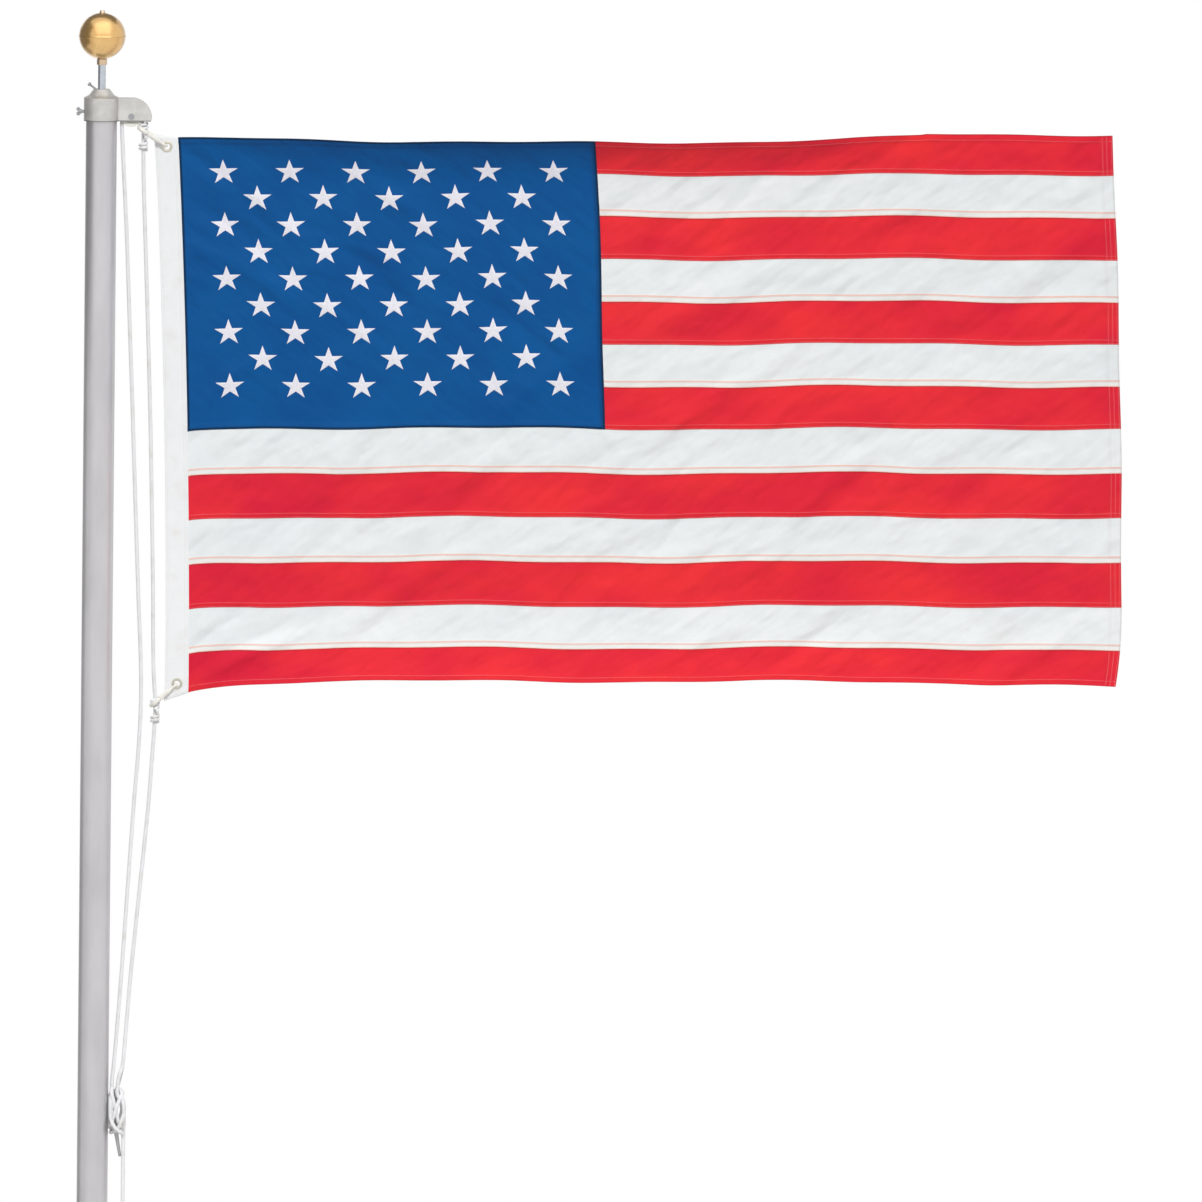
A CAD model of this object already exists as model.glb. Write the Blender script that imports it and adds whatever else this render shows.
"""Flagpole: the looks of a sectional pole with its truck, ball, halyard, cleat and flag."""
import math
import random

import bmesh
import bpy
import numpy as np
from bpy.props import FloatProperty, FloatVectorProperty, IntProperty, PointerProperty
from mathutils import Matrix, Quaternion, Vector


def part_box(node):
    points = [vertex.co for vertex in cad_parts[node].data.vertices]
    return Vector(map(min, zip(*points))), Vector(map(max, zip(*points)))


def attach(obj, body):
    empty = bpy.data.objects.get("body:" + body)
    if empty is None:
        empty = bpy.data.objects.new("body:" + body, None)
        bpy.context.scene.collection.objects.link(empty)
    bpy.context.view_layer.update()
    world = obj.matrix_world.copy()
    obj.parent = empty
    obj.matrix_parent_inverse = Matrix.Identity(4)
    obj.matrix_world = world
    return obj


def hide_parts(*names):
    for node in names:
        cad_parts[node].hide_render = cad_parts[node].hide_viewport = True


bl_info = {
    "name": "Flagpole",
    "version": (1, 0, 0),
    "blender": (4, 5, 0),
    "location": "View3D > Sidebar > Flagpole",
    "description": "Builds the finish, ropes and sewn flag of a flagpole around its packed frame",
    "category": "Add Mesh",
}

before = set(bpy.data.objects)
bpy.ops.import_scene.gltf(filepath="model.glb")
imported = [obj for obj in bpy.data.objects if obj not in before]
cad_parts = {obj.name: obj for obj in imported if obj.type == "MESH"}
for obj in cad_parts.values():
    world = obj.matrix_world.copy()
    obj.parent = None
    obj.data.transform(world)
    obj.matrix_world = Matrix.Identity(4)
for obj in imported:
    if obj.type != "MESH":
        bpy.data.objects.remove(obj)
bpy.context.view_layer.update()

MM = 0.001


def mm(points):
    """Points in millimetres as an array in metres."""
    return np.array(points, dtype=float) * MM


def linear(red, green, blue):
    """A colour given as 0 to 255 display values, as the linear colour that Blender works in."""
    def curve(value):
        share = value / 255
        return share / 12.92 if share <= 0.04045 else ((share + 0.055) / 1.055) ** 2.4
    return (curve(red), curve(green), curve(blue))


def shade(colour, *factors):
    """A colour times one factor, or times one for each of its channels."""
    return [c * factor for c, factor in zip(colour, factors * (3 // len(factors)))]


def centre_of(node):
    """Middle of a node's box."""
    low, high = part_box(node)
    return (Vector(low) + Vector(high)) / 2


# ---------------------------------------------------------------- settings

def colour_setting(name, description, red, green, blue):
    """A colour that a user may change, with its default as 0 to 255 display values."""
    return FloatVectorProperty(name=name, description=description, default=linear(red, green, blue),
                               subtype="COLOR", min=0, max=1)


def length_setting(name, description, default, least, most):
    """A length that a user may change, in metres."""
    return FloatProperty(name=name, description=description, default=default,
                         min=least, max=most, unit="LENGTH")


class PoleSettings(bpy.types.PropertyGroup):
    """Sizes and colours of the metal parts."""
    tube: colour_setting("Tube colour", "Satin aluminium of the pole", 203, 201, 203)
    casting: colour_setting("Casting colour", "Cast metal of the truck", 212, 210, 206)
    gold: colour_setting("Ball colour", "Gold anodised metal of the ball", 228, 182, 100)
    cleat: colour_setting("Cleat colour", "Tumbled casting of the cleat", 192, 191, 191)
    steel: colour_setting("Steel colour", "Screws, axle and spindle", 204, 206, 210)
    brass: colour_setting("Brass colour", "Grommets", 204, 200, 186)
    plastic: colour_setting("Plastic colour", "Sheave and snaps", 236, 234, 226)
    plug: colour_setting("Plug colour", "Plug in the foot", 48, 48, 50)
    tube_sides: IntProperty(name="Sides", description="Sides of a turned part",
        default=128, min=32, max=256)
    seam_lip: length_setting("Seam lip", "Height of the rolled lip at the seam of the ball",
        0.7 * MM, 0, 1 * MM)


class HalyardSettings(bpy.types.PropertyGroup):
    """Sizes and colour of the rope."""
    diameter: length_setting("Diameter", "Diameter of the rope", 6.4 * MM, 4 * MM, 8 * MM)
    ring_step: length_setting("Ring step", "Distance between the rings of the rope's mesh",
        2.4 * MM, 1 * MM, 6 * MM)
    sides: IntProperty(name="Sides", description="Sides of the rope's mesh", default=14, min=8, max=24)
    braid_pitch: length_setting("Braid pitch", "Length over which a strand goes round once",
        26 * MM, 10 * MM, 60 * MM)
    colour: colour_setting("Rope colour", "Braided polyester", 249, 249, 251)


class FlagSettings(bpy.types.PropertyGroup):
    """Sizes and colours of the flag."""
    hoist: length_setting("Hoist", "Width of the flag along the hoist", 0.914, 0.8, 1)
    fly: length_setting("Fly", "Length of the bunting", 1.529, 1.2, 1.8)
    heading: length_setting("Heading", "Width of the canvas heading", 38 * MM, 30 * MM, 50 * MM)
    canton: FloatProperty(name="Canton", description="Share of the fly that the canton takes",
        default=0.447, min=0.38, max=0.5, subtype="FACTOR")
    grid: length_setting("Cloth grid", "Distance between the lines of the cloth's mesh",
        5.4 * MM, 3 * MM, 20 * MM)
    seam: length_setting("Seam", "Width of a felled seam between two stripes", 9 * MM, 5 * MM, 14 * MM)
    stitch: length_setting("Stitch", "Distance from one stitch to the next", 4.2 * MM, 2 * MM, 8 * MM)
    star: length_setting("Star", "Radius of a star to its points", 23 * MM, 14 * MM, 25 * MM)
    blue: colour_setting("Blue", "Nylon of the canton", 3, 84, 149)
    red: colour_setting("Red", "Nylon of the red stripes", 240, 50, 56)
    white: colour_setting("White", "Nylon of the white stripes", 236, 239, 239)
    canvas: colour_setting("Canvas", "Canvas of the heading", 242, 243, 244)


class StageSettings(bpy.types.PropertyGroup):
    """Camera and light."""
    distance: length_setting("Distance", "From the camera to the middle of the view", 38, 5, 60)
    tilt: FloatProperty(name="Tilt", description="How far the camera looks down",
        default=math.radians(6), min=0, max=math.radians(30), subtype="ANGLE")
    roll: FloatProperty(name="Roll", description="Turn of the camera about its own line of sight",
        default=math.radians(0.639), min=-0.1, max=0.1, subtype="ANGLE")
    view_width: length_setting("View width", "Width of the view at the object", 1.971, 0.5, 6)
    key: FloatProperty(name="Key light", description="Strength of the even light from the front and right",
        default=2.28, min=0, max=10)
    back: FloatProperty(name="Back light", description="Strength of the even light from behind",
        default=1.6, min=0, max=10)
    ambient: FloatProperty(name="Ambient", description="Strength of the light from all round",
        default=0.36, min=0, max=2)


# ---------------------------------------------------------------- node trees

class Value:
    """A socket that can stand in a sum: each operator adds one Math node."""

    def __init__(self, tree, socket):
        self.tree = tree
        self.socket = socket

    def math(self, operation, *others):
        return self.tree.node("ShaderNodeMath", {"operation": operation}, [self, *others])

    def __add__(self, other):
        return self.math("ADD", other)

    def __sub__(self, other):
        return self.math("SUBTRACT", other)

    def __rsub__(self, other):
        return self.tree.node("ShaderNodeMath", {"operation": "SUBTRACT"}, [other, self])

    def __mul__(self, other):
        return self.math("MULTIPLY", other)

    def __pow__(self, other):
        return self.math("POWER", other)

    __radd__ = __add__
    __rmul__ = __mul__

    def ramp(self, low, high):
        """0 below low, 1 above high, smooth between."""
        return self.tree.node("ShaderNodeMapRange", {"interpolation_type": "SMOOTHSTEP"}, [self, low, high])

    def band(self, low, high, soft):
        """1 from low to high, falling to 0 over soft on each side."""
        return self.ramp(low - soft, low) * (1 - self.ramp(high, high + soft))


class Tree:
    """A node tree with one method that adds any node."""

    def __init__(self, node_tree):
        self.tree = node_tree
        node_tree.nodes.clear()

    def node(self, kind, settings=None, inputs=(), output=0):
        """Adds a node; inputs is a list by place or a dictionary by name. Returns one output."""
        made = self.tree.nodes.new(kind)
        for name, value in (settings or {}).items():
            setattr(made, name, value)
        pairs = inputs.items() if isinstance(inputs, dict) else enumerate(inputs)
        for key, value in pairs:
            if isinstance(value, Value):
                self.tree.links.new(value.socket, made.inputs[key])
            elif value is not None:
                made.inputs[key].default_value = value
        return Value(self, made.outputs[output]) if made.outputs else None

    def mix(self, factor, first, second):
        """Mixes two colours."""
        colours = {0: factor, 6: rgba(first), 7: rgba(second)}
        return self.node("ShaderNodeMix", {"data_type": "RGBA"}, colours, 2)

    def noise(self, vector, scale, detail=2.0):
        return self.node("ShaderNodeTexNoise", {}, {"Vector": vector, "Scale": scale, "Detail": detail})

    def stretch(self, vector, x, y, z):
        """Scales a vector by a number along each axis."""
        return self.node("ShaderNodeVectorMath", {"operation": "MULTIPLY"}, [vector, (x, y, z)])

    def parts(self, vector):
        """The three numbers of a vector."""
        split = self.node("ShaderNodeSeparateXYZ", {}, [vector]).socket.node
        return [Value(self, socket) for socket in split.outputs]


def rgba(colour):
    """A colour with its fourth number, or a socket as it is."""
    return colour if isinstance(colour, Value) else (*colour[:3], 1.0)


class Finish(Tree):
    """A material under construction around one Principled shader."""

    def __init__(self, name, colour, roughness, metallic=0.0, **fixed):
        self.material = bpy.data.materials.new(name)
        self.material.use_nodes = True
        super().__init__(self.material.node_tree)
        surface = self.node("ShaderNodeBsdfPrincipled", {}, {
            "Base Color": rgba(colour), "Roughness": roughness, "Metallic": metallic, **fixed})
        self.shader = surface.socket.node
        self.node("ShaderNodeOutputMaterial", {}, [surface])
        self.material.diffuse_color = (0.8, 0.8, 0.8, 1) if isinstance(colour, Value) else rgba(colour)
        coordinates = self.node("ShaderNodeTexCoord").socket.node
        self.place = Value(self, coordinates.outputs["Object"])
        self.uv = Value(self, coordinates.outputs["UV"])

    def drive(self, socket, value):
        self.tree.links.new(value.socket, self.shader.inputs[socket])

    def bump(self, height, distance, strength=1.0):
        """Raises the surface by height, which runs from 0 to 1, times distance in metres."""
        self.drive("Normal", self.node("ShaderNodeBump", {}, {
            "Strength": strength, "Distance": distance, "Height": height}))

    def attribute(self, name):
        return self.node("ShaderNodeAttribute", {"attribute_name": name}, output="Fac")


# ---------------------------------------------------------------- meshes

def new_object(name, mesh):
    made = bpy.data.objects.new(name, mesh)
    bpy.context.scene.collection.objects.link(made)
    return made


def mesh_piece(name, points, faces, uv=None, smooth=True):
    """An object from points and faces; uv gives one pair for each point, or for each face corner."""
    mesh = bpy.data.meshes.new(name)
    faces = faces.tolist() if isinstance(faces, np.ndarray) else [list(face) for face in faces]
    mesh.from_pydata(np.asarray(points).tolist(), [], faces)
    if uv is not None:
        layer = mesh.uv_layers.new(name="UVMap")
        uv = np.asarray(uv, dtype=np.float32)
        if len(uv) != len(mesh.loops):
            corners = np.empty(len(mesh.loops), dtype=np.int32)
            mesh.loops.foreach_get("vertex_index", corners)
            uv = uv[corners]
        layer.data.foreach_set("uv", uv.ravel())
    mesh.polygons.foreach_set("use_smooth", np.full(len(mesh.polygons), smooth))
    mesh.update()
    return new_object(name, mesh)


def dress(piece, material, slot, *replaces):
    """Gives a new piece of the mast its material, its slot and the nodes that it stands for."""
    piece.data.materials.clear()
    piece.data.materials.append(material)
    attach(piece, "mast")
    if replaces:
        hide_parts(*replaces)
    return piece


def finish_node(node, material):
    """Gives a node of the frame a better material."""
    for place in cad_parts[node].material_slots:
        place.material = material


def bake_modifiers(piece):
    """Turns a piece with its modifiers into a plain mesh, and takes the modifiers off."""
    depsgraph = bpy.context.evaluated_depsgraph_get()
    mesh = bpy.data.meshes.new_from_object(piece.evaluated_get(depsgraph))
    piece.modifiers.clear()
    old = piece.data
    piece.data = mesh
    bpy.data.meshes.remove(old)
    return piece


def merged_copy(node, name):
    """A copy of a node's mesh with its loose triangles joined and its flat faces made whole."""
    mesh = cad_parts[node].data.copy()
    mesh.name = name
    work = bmesh.new()
    work.from_mesh(mesh)
    bmesh.ops.remove_doubles(work, verts=work.verts, dist=2e-6)
    bmesh.ops.dissolve_limit(work, angle_limit=math.radians(0.6), verts=work.verts, edges=work.edges)
    work.to_mesh(mesh)
    work.free()
    mesh.materials.clear()
    return new_object(name, mesh)


def machined_piece(node, name, edge, material, slot):
    """Replaces a node by a copy with its sharp edges broken and its flat faces kept flat."""
    piece = merged_copy(node, name)
    bevel = piece.modifiers.new("Edges", "BEVEL")
    bevel.width = edge
    bevel.segments = 2
    bevel.limit_method = "ANGLE"
    bevel.angle_limit = math.radians(32)
    bake_modifiers(piece)
    piece.data.polygons.foreach_set("use_smooth", np.full(len(piece.data.polygons), True))
    piece.data.set_sharp_from_angle(angle=math.radians(50))
    flats = piece.modifiers.new("Flats", "WEIGHTED_NORMAL")
    flats.mode = "FACE_AREA"
    flats.weight = 50
    flats.keep_sharp = True
    dress(bake_modifiers(piece), material, slot, node)


def moulded_copy(node, name, voxel, rounds):
    """A copy of a node as one rounded skin, as a casting or a moulding has."""
    return skin(merged_copy(node, name), voxel, rounds)


def skin(piece, voxel, rounds):
    """Makes a piece anew as one smooth skin."""
    remesh = piece.modifiers.new("Skin", "REMESH")
    remesh.mode = "VOXEL"
    remesh.voxel_size = voxel
    remesh.use_smooth_shade = True
    soften = piece.modifiers.new("Soften", "SMOOTH")
    soften.factor = 0.5
    soften.iterations = rounds
    return bake_modifiers(piece)


def turned_piece(name, profile, centre, axis="Z", sides=128, sharp=34):
    """A turned part: a closed outline of (radius, height) points spun about an axis through centre."""
    points, faces, rings = [], [], []
    for radius, height in profile:
        count = 1 if radius < 1e-9 else sides
        rings.append([len(points) + k % count for k in range(sides)])
        for k in range(count):
            angle = 2 * math.pi * k / sides
            points.append((radius * math.cos(angle), radius * math.sin(angle), height))
    for a, b in zip(rings, rings[1:] + rings[:1]):
        for k in range(sides):
            m = (k + 1) % sides
            corners = list(dict.fromkeys([a[k], b[k], b[m], a[m]]))
            if len(corners) > 2:
                faces.append(corners)
    turn = Matrix.Rotation(math.radians(90), 4, "X") if axis == "Y" else Matrix.Identity(4)
    place = Matrix.Translation(Vector(centre)) @ turn
    mesh = bpy.data.meshes.new(name)
    mesh.from_pydata([place @ Vector(p) for p in points], [], faces)
    work = bmesh.new()
    work.from_mesh(mesh)
    bmesh.ops.recalc_face_normals(work, faces=work.faces)
    work.to_mesh(mesh)
    work.free()
    mesh.polygons.foreach_set("use_smooth", np.full(len(mesh.polygons), True))
    mesh.set_sharp_from_angle(angle=math.radians(sharp))
    return new_object(name, mesh)


# ---------------------------------------------------------------- finishes

def satin_tube(name, colour):
    """Drawn and anodised tube: fine lines along it, and a faint mottle."""
    made = Finish(name, colour, 0.42, 0.9)
    lines = made.noise(made.stretch(made.place, 900, 900, 6), 1, 3)
    mottle = made.noise(made.stretch(made.place, 1, 1, 0.25), 30, 3)
    scuffs = made.noise(made.stretch(made.place, 1, 1, 0.08), 160, 4).ramp(0.62, 0.78)
    tone = made.mix(mottle.ramp(0.3, 0.7), shade(colour, 0.93), [min(1, c) for c in shade(colour, 1.04)])
    made.drive("Base Color", made.mix(scuffs * 0.35, tone, shade(colour, 0.8)))
    made.drive("Roughness", 0.34 + lines * 0.12 + scuffs * 0.1)
    made.bump(lines, 0.02 * MM, 0.6)
    return made.material


def cast_metal(name, colour, grain=0.12, rim=None):
    """Tumbled casting: a pebbled skin, darker in its pores, with dirt along a rim at a height."""
    made = Finish(name, colour, 0.5, 0.8)
    pebbles = made.noise(made.place, 900, 3)
    pores = made.noise(made.place, 2200, 2).ramp(0.6, 0.75)
    stains = made.noise(made.place, 60, 3)
    tone = made.mix(stains.ramp(0.35, 0.7), shade(colour, 0.86), colour)
    if rim is not None:
        dirt = made.parts(made.place)[2].band(rim - 1 * MM, rim + 1.4 * MM, 0.7 * MM)
        tone = made.mix(dirt * 0.7, tone, shade(colour, 0.2))
    made.drive("Base Color", made.mix(pores * 0.5, tone, shade(colour, 0.55)))
    made.drive("Roughness", 0.4 + pebbles * 0.22)
    made.bump(pebbles - pores * 0.6, grain * MM, 0.8)
    return made.material


def gold_finish(name, colour):
    """Spun and polished ball: fine rings from the spinning, and soft clouds in the anodising."""
    made = Finish(name, colour, 0.16, 1.0, **{"Coat Weight": 1.0, "Coat Roughness": 0.18, "Coat IOR": 2.0})
    rings = made.noise(made.stretch(made.place, 4, 4, 1500), 1, 2)
    clouds = made.noise(made.place, 28, 3)
    scratches = made.noise(made.stretch(made.place, 300, 300, 1400), 1, 3).ramp(0.62, 0.8)
    warm = shade(colour, 0.9, 0.8, 0.62)
    made.drive("Base Color", made.mix(clouds.ramp(0.35, 0.7), colour, warm))
    made.drive("Roughness", 0.25 + rings * 0.08 + scratches * 0.1)
    made.bump(rings, 0.004 * MM, 0.4)
    return made.material


def turned_steel(name, colour, roughness):
    """Bright turned metal with fine tool marks and faint stains."""
    made = Finish(name, colour, roughness, 1.0)
    marks = made.noise(made.stretch(made.place, 60, 60, 2600), 1, 2)
    stains = made.noise(made.place, 180, 3)
    made.drive("Base Color", made.mix(stains.ramp(0.4, 0.75), colour, shade(colour, 0.84)))
    made.drive("Roughness", roughness - 0.06 + marks * 0.14 + stains * 0.08)
    made.bump(marks, 0.01 * MM, 0.6)
    return made.material


def moulded_plastic(name, colour, roughness=0.45):
    """Moulded nylon: an orange-peel skin, a little grime in the low places."""
    made = Finish(name, colour, roughness)
    peel = made.noise(made.place, 700, 2)
    grime = made.noise(made.place, 120, 4).ramp(0.5, 0.8)
    made.drive("Base Color", made.mix(grime * 0.4, colour, shade(colour, 0.78)))
    made.drive("Roughness", roughness - 0.06 + peel * 0.14)
    made.bump(peel, 0.05 * MM, 0.7)
    return made.material


def braided_rope(name, colour, diameter, pitch):
    """Braid on a rope's own map: u runs once round and v is metres along."""
    made = Finish(name, colour, 0.78, 0.0, **{"Sheen Weight": 0.25, "Sheen Roughness": 0.5})
    u, v, _ = made.parts(made.uv)
    strands = 8
    right = u * strands + v * (strands / pitch)
    left = u * strands - v * (strands / pitch)
    over = (right.math("FLOOR") + left.math("FLOOR")).math("PINGPONG", 1.0)
    right_arch = (right * math.pi).math("SINE").math("ABSOLUTE")
    left_arch = (left * math.pi).math("SINE").math("ABSOLUTE")
    height = (over * right_arch + (1 - over) * left_arch) ** 0.6
    fibres = made.noise(made.stretch(made.place, 1, 1, 0.5), 5200, 2)
    soil = made.noise(made.place, 40, 4)
    tone = made.mix(soil.ramp(0.45, 0.8), colour, shade(colour, 0.88, 0.86, 0.8))
    made.drive("Base Color", made.mix((1 - height) * 0.34, tone, shade(colour, 0.66)))
    made.drive("Roughness", 0.7 + fibres * 0.2)
    made.bump(height + fibres * 0.3, diameter * 0.07, 0.9)
    return made.material


# cosine and sine of the slope of the finest creases, and how far they are drawn out along it
CREASE_COS = 0.77
CREASE_SIN = 0.64
CREASE_STRETCH = 0.45


def woven(name, colour, pitch, shine, depth, crumple, lean=1):
    """Base of the cloths: a plain weave on a map in metres, with fine creases that lean to one side.

    Returns the finish, the place along the fly, the uneven threads, and the thickest of those."""
    made = Finish(name, colour, shine, 0.0, **{
        "Sheen Weight": 0.05, "Sheen Roughness": 0.4, "Specular IOR Level": 0.16})
    u, v, _ = made.parts(made.uv)
    warp = (u * (2 * math.pi / pitch)).math("SINE")
    weft = (v * (2 * math.pi / pitch)).math("SINE")
    slubs = made.noise(made.stretch(made.uv, 60, 900, 0), 1, 2)
    slubs = slubs + made.noise(made.stretch(made.uv, 900, 60, 0), 1, 2)
    along = u * CREASE_COS - v * (CREASE_SIN * lean)
    across = u * (CREASE_SIN * lean) + v * CREASE_COS
    slanted = made.node("ShaderNodeCombineXYZ", {}, [along * CREASE_STRETCH, across, 0.0])
    crinkle = made.noise(slanted, 24, 2)
    made.bump((warp * weft * 0.25 + 0.25 + slubs * 0.4) * depth + crinkle * crumple, 1.0, 0.8)
    return made, u, slubs, (slubs - 0.8).ramp(0, 0.5)


def stripe_cloth(name, colour, seam, shadow, line=None):
    """Nylon of a stripe. A white one, given a line colour, shows the doubled cloth along its foot as
    a tinted band between two fine lines; a red one shows it as a darker band, with dark edges."""
    made, u, slubs, thick = woven(name, colour, 0.8 * MM, 0.62, 0.05 * MM, 13 * MM)
    foot = made.attribute("foot")
    clouds = made.noise(made.stretch(made.uv, 0.6, 1, 0), 9, 4)
    deeper = clouds.ramp(0.28, 0.74) * 0.8 + (1 - u.ramp(0.1, 0.6)) * 0.35 + u.ramp(1.2, 1.5) * 0.2
    tone = made.mix(deeper.math("MINIMUM", 1.0), colour, shade(colour, *shadow))
    tone = made.mix(thick * 0.12, tone, shade(colour, 0.8))
    if line:
        doubled = foot.band(0.0, seam, 0.4 * MM) * 0.5
        tone = made.mix(doubled, tone, shade(colour, 1.04, 0.95, 0.89))
        stitched = foot.band(seam - 1.7 * MM, seam - 0.7 * MM, 0.5 * MM) * 0.5
        tone = made.mix(stitched, tone, shade(colour, 0.68))
        edges = foot.band(seam - 0.2 * MM, seam + 1.5 * MM, 0.6 * MM)
        edges = edges + foot.band(-1 * MM, 0.9 * MM, 0.5 * MM)
        tone = made.mix(edges * 0.9, tone, line)
    else:
        doubled = foot.band(0.0, seam, 0.5 * MM) * 0.35
        tone = made.mix(doubled, tone, shade(colour, 0.84))
        folded = made.attribute("top").band(-1 * MM, 1.1 * MM, 0.6 * MM)
        folded = folded + foot.band(-1 * MM, 0.7 * MM, 0.6 * MM) * 0.7
        tone = made.mix(folded * 0.7, tone, shade(colour, 0.4))
    hem = made.attribute("end").band(-1 * MM, 1.6 * MM, 0.6 * MM)
    tone = made.mix(hem * 0.4, tone, shade(colour, 0.5))
    made.drive("Base Color", tone)
    made.drive("Roughness", 0.56 + slubs * 0.1)
    return made.material


def canton_cloth(name, colour):
    """Blue nylon with a dark turned edge all round, and a darker band beside it at the fly."""
    made, u, slubs, thick = woven(name, colour, 0.8 * MM, 0.58, 0.05 * MM, 7 * MM, -1)
    end = made.attribute("end")
    rim = made.attribute("foot").math("MINIMUM", end)
    rim = rim.math("MINIMUM", made.attribute("top")).math("MINIMUM", u)
    clouds = made.noise(made.stretch(made.uv, 1, 1, 0), 7, 3)
    tone = made.mix(clouds.ramp(0.3, 0.75), colour, shade(colour, 0.8, 0.84, 0.9))
    tone = made.mix(thick * 0.15, tone, shade(colour, 0.75))
    edge = 1 - rim.ramp(3.0 * MM, 4.6 * MM)
    tone = made.mix((1 - end.ramp(5 * MM, 11 * MM)) * 0.5, tone, shade(colour, 0.45))
    made.drive("Base Color", made.mix(edge * 0.85, tone, shade(colour, 1, 0.2, 0.16)))
    made.drive("Roughness", 0.52 + slubs * 0.1)
    return made.material


def canvas_cloth(name, colour):
    """Heavy cotton canvas with a coarse weave and faint soiling."""
    made, _, slubs, thick = woven(name, colour, 1.3 * MM, 0.85, 0.14 * MM, 4 * MM)
    soil = made.noise(made.stretch(made.uv, 1, 1, 0), 24, 4)
    tone = made.mix(soil.ramp(0.5, 0.85), colour, shade(colour, 0.93, 0.9, 0.87))
    made.drive("Base Color", made.mix(thick * 0.2, tone, shade(colour, 0.82)))
    made.drive("Roughness", 0.8 + slubs * 0.08)
    return made.material


def satin_thread(name, colour):
    """Thread laid side by side, as on embroidery and in stitches."""
    made = Finish(name, colour, 0.5, 0.0, **{"Sheen Weight": 0.4, "Sheen Roughness": 0.35})
    threads = made.noise(made.stretch(made.place, 0.15, 1, 1), 2600, 2)
    made.drive("Base Color", made.mix(threads.ramp(0.4, 0.65), colour, shade(colour, 0.8)))
    made.drive("Roughness", 0.4 + threads * 0.25)
    made.bump(threads, 0.12 * MM, 0.8)
    return made.material


# ---------------------------------------------------------------- stage

VIEW_CENTRE = Vector((0.826, 0, 2.229))
FLOOR_RADIUS = 3.0
FLOOR_CENTRE_X = 0.4
FLOOR_SIDES = 96


def board(name, place, aim, size, strength):
    """A board that shows only in reflections, with an even brightness."""
    turn = (Vector(aim) - Vector(place)).to_track_quat("Z", "Y")
    wide, tall = size[0] / 2, size[1] / 2
    corners = [Vector(place) + turn @ Vector(corner) for corner in (
        (-wide, -tall, 0), (wide, -tall, 0), (wide, tall, 0), (-wide, tall, 0))]
    shown = mesh_piece(name, corners, [(0, 1, 2, 3)], smooth=False)
    made = Finish(name, (0, 0, 0), 1.0, **{
        "Specular IOR Level": 0.0, "Emission Color": (1, 1, 1, 1), "Emission Strength": strength})
    shown.data.materials.append(made.material)
    shown.visible_camera = False
    shown.visible_diffuse = False
    shown.visible_shadow = False
    shown.visible_transmission = False


def far_lamp(name, towards, strength, softness):
    """Even light from far off, in the direction given, that leaves no bright spot on metal."""
    light = bpy.data.lights.new(name, "SUN")
    light.energy = strength
    light.angle = math.radians(softness)
    shown = new_object(name, light)
    shown.rotation_euler = Vector(towards).to_track_quat("-Z", "Y").to_euler()
    shown.visible_glossy = False


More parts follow.
